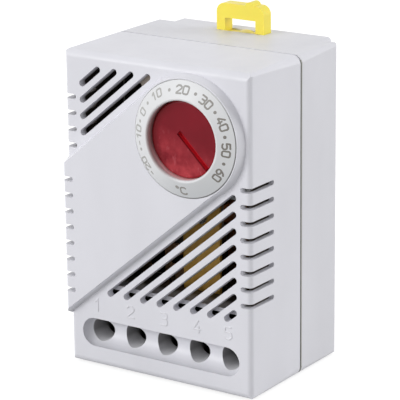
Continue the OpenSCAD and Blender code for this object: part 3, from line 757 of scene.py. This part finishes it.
class Finishes:
    """All the finishes of the object: by the record's material slot, and the print's."""

    TABLE: tuple[MouldedPlastic | WorkedMetal | ClearRed, ...] = (
        MouldedPlastic("case_front", (0.665, 0.665, 0.71), shades=shell_shades()),
        MouldedPlastic("case_rear", (0.635, 0.635, 0.675), shades=shell_shades()),
        MouldedPlastic("ring", (0.665, 0.672, 0.685), roughness=0.4, grain_depth=0.004,
                       flow=0.015, shades=RingShades().shades()),
        ClearRed(),
        MouldedPlastic("clip", (0.83, 0.70, 0.075), roughness=0.33, flow=0.04, inner_glow=0.15),
        MouldedPlastic("ceramic", (0.82, 0.80, 0.74), roughness=0.25, grain_depth=0.006),
        MouldedPlastic("magnet", (0.035, 0.035, 0.04), roughness=0.5, grain_depth=0.02),
        MouldedPlastic("resistor", (0.07, 0.045, 0.03), roughness=0.3, grain_depth=0.01),
        WorkedMetal("brass", (0.62, 0.46, 0.20), roughness=0.28, along=Axis.Y),
        WorkedMetal("steel", (0.50, 0.51, 0.52), roughness=0.34),
        WorkedMetal("screw_steel", (0.58, 0.58, 0.58), roughness=0.25, along=Axis.Y, stretch=4.0,
                    marks_mm=0.5, shades=screw_shades()),
        WorkedMetal("pin_steel", (0.62, 0.62, 0.63), roughness=0.2, along=Axis.X),
        WorkedMetal("spring_steel", (0.38, 0.38, 0.40), along=Axis.X, stretch=3.0),
        WorkedMetal("bimetal", (1.0, 0.58, 0.11), roughness=0.42, stretch=20.0, stain=0.08,
                    metallic=0.0),
        WorkedMetal("copper_alloy", (0.42, 0.23, 0.12), roughness=0.32),
        WorkedMetal("silver", (0.82, 0.82, 0.81), roughness=0.22, stretch=2.0),
        WorkedMetal("tinned_wire", (0.65, 0.65, 0.66), along=Axis.X),
        MouldedPlastic("scale_print", (0.22, 0.205, 0.185), roughness=0.6, grain_mm=0.1,
                       flow=0.12, shades=ink_shades()),
    )

    def __init__(self) -> None:
        """Builds every material once."""
        self.made: dict[str, bpy.types.Material] = {f.name: f.make() for f in self.TABLE}

    def __getitem__(self, name: str) -> bpy.types.Material:
        """The material of a slot."""
        return self.made[name]

    def dress_frame(self, record: dict) -> None:
        """Gives every CAD node its material.

        Args:
            record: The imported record.
        """
        for part in record["subparts"]:
            node = frame["nodes"][part["node"]]
            node.data.materials.clear()
            node.data.materials.append(self.made[part["material_slot"]])
            LOG.info("dressed %s as %s", node.name, part["material_slot"])


# ---- mesh helpers


def new_piece(name: str, mesh: bpy.types.Mesh, material: bpy.types.Material) -> bpy.types.Object:
    """Adds a finished mesh to the scene.

    Args:
        name: Name of the piece.
        mesh: The mesh, in place.
        material: Its material.

    Returns:
        The new object.
    """
    mesh.materials.clear()
    mesh.materials.append(material)
    return in_scene(name, mesh)


def from_build(name: str, build: bmesh.types.BMesh) -> bpy.types.Mesh:
    """Turns a mesh under construction into a mesh, and frees it.

    Args:
        name: Name of the mesh.
        build: The mesh under construction.

    Returns:
        The mesh.
    """
    mesh = bpy.data.meshes.new(name)
    build.to_mesh(mesh)
    build.free()
    return mesh


def holder_of(name: str, places: Sequence[Sequence[float]]) -> bpy.types.Object:
    """Adds an object whose points carry copies.

    Args:
        name: Name of the object.
        places: The points, in metres.

    Returns:
        The object.
    """
    points = bpy.data.meshes.new(name)
    points.from_pydata(places, [], [])
    return in_scene(name, points)


def stroke_mesh(name: str, lines: Sequence[Sequence[Vector]], radius: float,
                sides: int = 8) -> bpy.types.Mesh:
    """Sweeps a round pen along lines in the plane z = 0, with round joints and ends.

    Args:
        name: Name of the mesh.
        lines: The lines, in metres.
        radius: Radius of the pen, in metres.
        sides: Sides of the pen.

    Returns:
        The mesh, with its spheres and tubes joined.
    """
    build = bmesh.new()
    for line in lines:
        for p in line:
            bmesh.ops.create_uvsphere(build, u_segments=sides, v_segments=sides // 2 + 1,
                                      radius=radius, matrix=Matrix.Translation(p))
        for a, b in zip(line, line[1:]):
            run = b - a
            turn = run.to_track_quat("Z", "Y").to_matrix().to_4x4()
            bmesh.ops.create_cone(build, cap_ends=True, segments=sides, radius1=radius,
                                  radius2=radius, depth=run.length,
                                  matrix=Matrix.Translation((a + b) / 2) @ turn)
    return from_build(name, build)


def write_figures(text: str, width: float, height: float, gap: float) -> list[list[Vector]]:
    """Lays a word of figures out, centred on the origin.

    Args:
        text: The figures.
        width: Width of a figure, in metres.
        height: Height of a figure, in metres.
        gap: Space between two figures, in metres.

    Returns:
        The strokes, in metres.
    """
    step = width + gap
    start = -(step * len(text) - gap) / 2
    lines = []
    for i, mark in enumerate(text):
        for stroke in GLYPHS[mark].strokes:
            lines.append([Vector((start + i * step + x * width / GLYPH_W,
                                  (y - GLYPH_H / 2) * height / GLYPH_H, 0.0))
                          for x, y in stroke])
    return lines


def bend(mesh: bpy.types.Mesh, place: Callable[[Vector], Vector]) -> None:
    """Moves every point of a mesh by a rule.

    Args:
        mesh: The mesh to change.
        place: Gives a point's new place.
    """
    for vertex in mesh.vertices:
        vertex.co = place(vertex.co.copy())
    mesh.update()


class RepeatTree:
    """A node tree that puts one shape on every point of a mesh."""

    def __init__(self, name: str, shape: str, material: bpy.types.Material) -> None:
        """Builds the tree.

        Args:
            name: Name of the tree.
            shape: Type of the node that makes the shape.
            material: Material set at the end.
        """
        self.tree = bpy.data.node_groups.new(name, "GeometryNodeTree")
        self.tree.is_modifier = True
        for way in ("INPUT", "OUTPUT"):
            self.tree.interface.new_socket("Geometry", in_out=way,
                                           socket_type="NodeSocketGeometry")
        nodes, links = self.tree.nodes, self.tree.links
        self.entry = nodes.new("NodeGroupInput")
        self.shape = nodes.new(shape)
        self.place = nodes.new("GeometryNodeInstanceOnPoints")
        real = nodes.new("GeometryNodeRealizeInstances")
        paint = nodes.new("GeometryNodeSetMaterial")
        paint.inputs["Material"].default_value = material
        leave = nodes.new("NodeGroupOutput")
        solid = next(output for output in self.shape.outputs if output.type == "GEOMETRY")
        links.new(self.entry.outputs["Geometry"], self.place.inputs["Points"])
        links.new(solid, self.place.inputs["Instance"])
        links.new(self.place.outputs["Instances"], real.inputs["Geometry"])
        links.new(real.outputs["Geometry"], paint.inputs["Geometry"])
        links.new(paint.outputs["Geometry"], leave.inputs["Geometry"])
        self.values: dict[str, float] = {}

    def socket(self, name: str, value: float) -> None:
        """Adds a named size that feeds the shape.

        Args:
            name: Name of the size and of the shape's socket.
            value: Its value.
        """
        made = self.tree.interface.new_socket(name, in_out="INPUT",
                                              socket_type="NodeSocketFloat")
        self.tree.links.new(self.entry.outputs[name], self.shape.inputs[name])
        self.values[made.identifier] = value

    def turned_by(self, attribute: str) -> None:
        """Turns each copy by its point's attribute, in radians.

        Args:
            attribute: Name of the attribute.
        """
        node = self.tree.nodes.new("GeometryNodeInputNamedAttribute")
        node.data_type = "FLOAT_VECTOR"
        node.inputs["Name"].default_value = attribute
        self.tree.links.new(node.outputs["Attribute"], self.place.inputs["Rotation"])

    def apply(self, holder: bpy.types.Object,
              settings: dict[str, int | bpy.types.Object]) -> bpy.types.Mesh:
        """Runs the tree on an object and returns a plain mesh.

        Args:
            holder: The object whose points carry the copies.
            settings: Values for the shape's own sockets.

        Returns:
            The finished mesh. The holder is deleted.
        """
        for name, value in settings.items():
            self.shape.inputs[name].default_value = value
        modifier = holder.modifiers.new("repeat", "NODES")
        modifier.node_group = self.tree
        for identifier, value in self.values.items():
            modifier[identifier] = value
        bpy.context.view_layer.update()
        graph = bpy.context.evaluated_depsgraph_get()
        mesh = bpy.data.meshes.new_from_object(holder.evaluated_get(graph))
        holder.modifiers.remove(modifier)
        bpy.data.objects.remove(holder)
        return mesh


# ---- sub-assemblies


@dataclass(frozen=True)
class ScaleWord:
    """One word of the scale and its place on the ring."""

    text: str
    angle: float
    radius: float
    upright: bool = False
    stretch: float = 1.0


@dataclass
class ScaleRing:
    """Figures and dots of the temperature scale, on the cone of the ring."""

    centre_x: float = 8.85
    centre_z: float = 56.8
    outer_r: float = 12.75
    outer_y: float = -2.0
    inner_r: float = 9.175
    inner_y: float = -3.545
    figure_w: float = 1.18
    figure_h: float = 1.56
    pen: float = 0.19
    gap: float = 0.44
    height: float = 0.03
    dot_r: float = 0.36
    dot_segments: int = 14
    dot_rings: int = 8
    dot_flatness: float = 0.1
    words: tuple[ScaleWord, ...] = (
        ScaleWord("-20", -142.3, 11.75), ScaleWord("-10", -176.8, 11.5),
        ScaleWord("0", 154.9, 11.27), ScaleWord("10", 126.5, 11.19),
        ScaleWord("20", 89.7, 10.94, stretch=1.1), ScaleWord("30", 56.5, 10.77),
        ScaleWord("40", 26.0, 11.05), ScaleWord("50", -3.5, 10.87),
        ScaleWord("60", -35.4, 10.91),
        ScaleWord("oC", -95.0, 11.05, upright=True, stretch=1.2))
    dots: tuple[Point, ...] = (
        (107.4, 10.93), (72.2, 10.9), (41.0, 10.8), (11.4, 10.75), (-19.8, 10.83), (142.7, 11.24),
        (166.6, 11.34), (-162.1, 11.44))

    def on_cone(self, radius: float, angle: float, proud: float) -> Vector:
        """A point over the cone, in metres in the shared frame.

        Args:
            radius: Distance from the dial's centre.
            angle: Degrees from +X, turning up.
            proud: Height over the cone.

        Returns:
            The point.
        """
        share = (radius - self.inner_r) / (self.outer_r - self.inner_r)
        depth = self.inner_y + share * (self.outer_y - self.inner_y) - proud
        a = math.radians(angle)
        return Vector(((self.centre_x + radius * math.cos(a)) * MM, (depth + FRONT_Y) * MM,
                       (self.centre_z + radius * math.sin(a)) * MM))

    def label(self, word: ScaleWord, material: bpy.types.Material) -> bpy.types.Object:
        """Builds one word with its top pointing outwards, or inwards where it stands upright.

        Args:
            word: The word and its place.
            material: Its material.

        Returns:
            The piece.
        """
        name = "scale_" + word.text.replace("-", "minus_").replace("oC", "degrees_c")
        strokes = write_figures(word.text, self.figure_w * word.stretch * MM,
                                self.figure_h * MM, self.gap * MM)
        mesh = stroke_mesh(name, strokes, self.pen * MM)
        way = -1.0 if word.upright else 1.0

        def place(p: Vector) -> Vector:
            """Wraps a point of the flat word round the dial."""
            turn = -way * math.degrees(p.x / (word.radius * MM))
            return self.on_cone(word.radius + way * p.y / MM, word.angle + turn,
                                way * p.z / MM * self.height / self.pen)

        bend(mesh, place)
        return new_piece(name, mesh, material)

    def dot_ring(self, material: bpy.types.Material) -> bpy.types.Object:
        """Builds the dots between the labels with a node tree.

        Args:
            material: Their material.

        Returns:
            The piece.
        """
        holder = holder_of("scale_dot_places", [self.on_cone(r, a, 0.0) for a, r in self.dots])
        tree = RepeatTree("scale_dots_tree", "GeometryNodeMeshUVSphere", material)
        tree.socket("Radius", self.dot_r * MM)
        mesh = tree.apply(holder, {"Segments": self.dot_segments, "Rings": self.dot_rings})

        def flatten(p: Vector) -> Vector:
            """Presses a point of a ball flat on the cone."""
            dx, dz = p.x / MM - self.centre_x, p.z / MM - self.centre_z
            on = self.on_cone(math.hypot(dx, dz), math.degrees(math.atan2(dz, dx)), 0.0)
            return Vector((p.x, on.y + (p.y - on.y) * self.dot_flatness, p.z))

        bend(mesh, flatten)
        return new_piece("scale_dots", mesh, material)

    def build(self, finishes: Finishes) -> list[bpy.types.Object]:
        """Builds the whole scale.

        Args:
            finishes: The object's finishes.

        Returns:
            The pieces.
        """
        ink = finishes["scale_print"]
        made = [self.label(word, ink) for word in self.words]
        made.append(self.dot_ring(ink))
        return made


@dataclass
class TerminalMarks:
    """Raised figures over the terminals."""

    places: tuple[float, ...] = (-16.6, -7.6, 1.3, 10.0, 18.0)
    middle_z: float = 14.8
    width: float = 1.7
    height: float = 2.7
    pen: float = 0.22
    proud: float = 0.16

    def build(self, finishes: Finishes) -> list[bpy.types.Object]:
        """Builds the five figures.

        Args:
            finishes: The object's finishes.

        Returns:
            The pieces.
        """
        made = []
        for number, x in enumerate(self.places, 1):
            name = f"terminal_mark_{number}"
            strokes = write_figures(str(number), self.width * MM, self.height * MM, 0.0)
            mesh = stroke_mesh(name, strokes, self.pen * MM)

            def place(p: Vector, at: float = x) -> Vector:
                """Stands a point of the flat figure up on the front."""
                return Vector((p.x + at * MM, FRONT_Y * MM - p.z * self.proud / self.pen,
                               p.y + self.middle_z * MM))

            bend(mesh, place)
            made.append(new_piece(name, mesh, finishes["case_front"]))
        return made


@dataclass
class TerminalScrews:
    """Slotted cheese-head screws of the five terminals, each turned its own way."""

    node: str = "terminal_screws"
    head_r: float = 2.4
    head_h: float = 1.7
    chamfer: float = 0.25
    shank_r: float = 1.4
    slot_width: float = 0.8
    slot_depth: float = 0.9
    turns: tuple[float, ...] = (12.0, -31.0, 64.0, 3.0, -50.0)
    sides: int = 48
    weld: float = 0.001

    def blank(self, length: float) -> bpy.types.Object:
        """Turns one screw about Y, its head's face at the origin.

        Args:
            length: Length of the screw.

        Returns:
            The screw without its slot.
        """
        profile = ((0.0, 0.0), (self.head_r - self.chamfer, 0.0), (self.head_r, self.chamfer),
                   (self.head_r, self.head_h), (self.shank_r, self.head_h),
                   (self.shank_r, length - self.chamfer), (self.shank_r - self.chamfer, length),
                   (0.0, length))
        build = bmesh.new()
        line = [build.verts.new((r * MM, y * MM, 0.0)) for r, y in profile]
        edges = [build.edges.new(pair) for pair in zip(line, line[1:])]
        bmesh.ops.spin(build, geom=line + edges, axis=INWARD, cent=(0.0, 0.0, 0.0),
                       angle=math.tau, steps=self.sides)
        bmesh.ops.remove_doubles(build, verts=build.verts, dist=self.weld * MM)
        bmesh.ops.recalc_face_normals(build, faces=build.faces)
        return in_scene("screw_blank", from_build("screw_blank", build))

    def cutter(self) -> bpy.types.Object:
        """The block that cuts the slot, wider than the head and half before its face.

        Returns:
            The block.
        """
        build = bmesh.new()
        size = Vector((3 * self.head_r, 2 * self.slot_depth, self.slot_width)) * MM
        bmesh.ops.create_cube(build, size=1.0, matrix=Matrix.Diagonal((*size, 1.0)))
        return in_scene("slot_cutter", from_build("slot_cutter", build))

    def build(self, finishes: Finishes) -> list[bpy.types.Object]:
        """Builds the five screws where the plain ones are.

        Args:
            finishes: The object's finishes.

        Returns:
            The one piece that holds them all.
        """
        low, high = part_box(self.node)
        screw, block = self.blank((high.y - low.y) / MM), self.cutter()
        cut = screw.modifiers.new("slot", "BOOLEAN")
        cut.operation, cut.solver, cut.object = "DIFFERENCE", "EXACT", block
        first, last = low.x + self.head_r * MM, high.x - self.head_r * MM
        count = len(self.turns)
        spots = [(first + (last - first) * i / (count - 1), low.y, (low.z + high.z) / 2)
                 for i in range(count)]
        holder = holder_of("screw_places", spots)
        turn = holder.data.attributes.new("turn", "FLOAT_VECTOR", "POINT")
        for item, angle in zip(turn.data, self.turns):
            item.vector = (0.0, math.radians(angle), 0.0)
        tree = RepeatTree("terminal_screws_tree", "GeometryNodeObjectInfo",
                          finishes["screw_steel"])
        tree.turned_by("turn")
        mesh = tree.apply(holder, {"Object": screw})
        for helper in (screw, block):
            bpy.data.objects.remove(helper)
        return [new_piece("terminal_screws_slotted", mesh, finishes["screw_steel"])]


@dataclass(frozen=True)
class SoftLamp:
    """A square lamp that points at the object. Lengths in metres."""

    name: str
    place: Triple
    size: float
    watts: float
    aim: Triple = (0.0, 0.0, 0.035)

    def build(self) -> None:
        """Adds the lamp."""
        data = bpy.data.lights.new(self.name, "AREA")
        data.shape = "SQUARE"
        data.size = self.size
        data.energy = self.watts
        way = Vector(self.aim) - Vector(self.place)
        turn = way.to_track_quat("-Z", "Y").to_matrix().to_4x4()
        in_scene(self.name, data).matrix_world = Matrix.Translation(self.place) @ turn


@dataclass
class Studio:
    """Camera at the photograph's angle, soft lamps and a pale floor."""

    azimuth: float = 34.0931
    elevation: float = 16.7821
    roll: float = -0.674
    eye: Triple = (265.741, -395.435, 179.372)
    lens: float = 202.3
    sensor: float = 36.0
    shift: Point = (0.00934, 0.01573)
    clip: Point = (0.01, 20.0)
    world_level: float = 0.62
    floor_size: float = 3.0
    floor_parts: int = 4
    lamps: tuple[SoftLamp, ...] = (
        SoftLamp("key", (-0.55, -1.0, 0.36), 0.55, 8.3),
        SoftLamp("side", (0.95, 0.62, 0.35), 0.6, 6.8),
        SoftLamp("top", (0.1, 0.25, 1.1), 0.6, 2.0))

    def camera(self) -> None:
        """Creates the camera and makes it the scene's."""
        az, el, ro = (math.radians(v) for v in (self.azimuth, self.elevation, self.roll))
        back = Vector((math.sin(az) * math.cos(el), -math.cos(az) * math.cos(el), math.sin(el)))
        level = Vector((math.cos(az), math.sin(az), 0.0))
        upright = back.cross(level)
        right = level * math.cos(ro) + upright * math.sin(ro)
        up = upright * math.cos(ro) - level * math.sin(ro)
        data = bpy.data.cameras.new("photo_camera")
        data.lens = self.lens
        data.sensor_width = self.sensor
        data.sensor_fit = "HORIZONTAL"
        data.shift_x, data.shift_y = self.shift
        data.clip_start, data.clip_end = self.clip
        camera = in_scene("photo_camera", data)
        turn = Matrix((right, up, back)).transposed().to_4x4()
        camera.matrix_world = Matrix.Translation(Vector(self.eye) * MM) @ turn
        bpy.context.scene.camera = camera

    def world(self) -> None:
        """White to the camera and in reflections, dimmer as light."""
        world = bpy.data.worlds.new("studio")
        bpy.context.scene.world = world
        world.use_nodes = True
        tree = world.node_tree
        tree.nodes.clear()
        out = tree.nodes.new("ShaderNodeOutputWorld")
        ground = tree.nodes.new("ShaderNodeBackground")
        ground.inputs["Color"].default_value = (1.0, 1.0, 1.0, 1.0)
        level = tree.nodes.new("ShaderNodeMapRange")
        level.inputs["To Min"].default_value = self.world_level
        level.inputs["To Max"].default_value = 1.0
        tree.links.new(backdrop_rays(tree), level.inputs["Value"])
        tree.links.new(level.outputs["Result"], ground.inputs["Strength"])
        tree.links.new(ground.outputs["Background"], out.inputs["Surface"])

    def floor(self) -> None:
        """Adds the floor, which isn't part of the object."""
        build = bmesh.new()
        bmesh.ops.create_grid(build, x_segments=self.floor_parts, y_segments=self.floor_parts,
                              size=self.floor_size)
        floor = new_piece("floor", from_build("floor", build), PaleFloor().make())

    def build(self) -> None:
        """Builds the studio."""
        bpy.context.scene.view_settings.view_transform = "Standard"
        self.camera()
        self.world()
        self.floor()
        for lamp in self.lamps:
            lamp.build()


def main() -> None:
    """Builds the dressed thermostat and its studio, and reports each piece."""
    logging.basicConfig(level=logging.INFO, format="%(name)s: %(message)s")
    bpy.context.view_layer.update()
    finishes = Finishes()
    finishes.dress_frame(frame["record"])
    for piece in ScaleRing().build(finishes):
        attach(piece, "housing")
        LOG.info("scale piece %s, %d faces", piece.name, len(piece.data.polygons))
    for piece in TerminalMarks().build(finishes):
        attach(piece, "housing")
        LOG.info("mark %s, %d faces", piece.name, len(piece.data.polygons))
    for piece in TerminalScrews().build(finishes):
        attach(piece, "housing")
        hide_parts("terminal_screws")
        LOG.info("screws %s, %d faces", piece.name, len(piece.data.polygons))
    Studio().build()


if __name__ == "__main__":
    main()
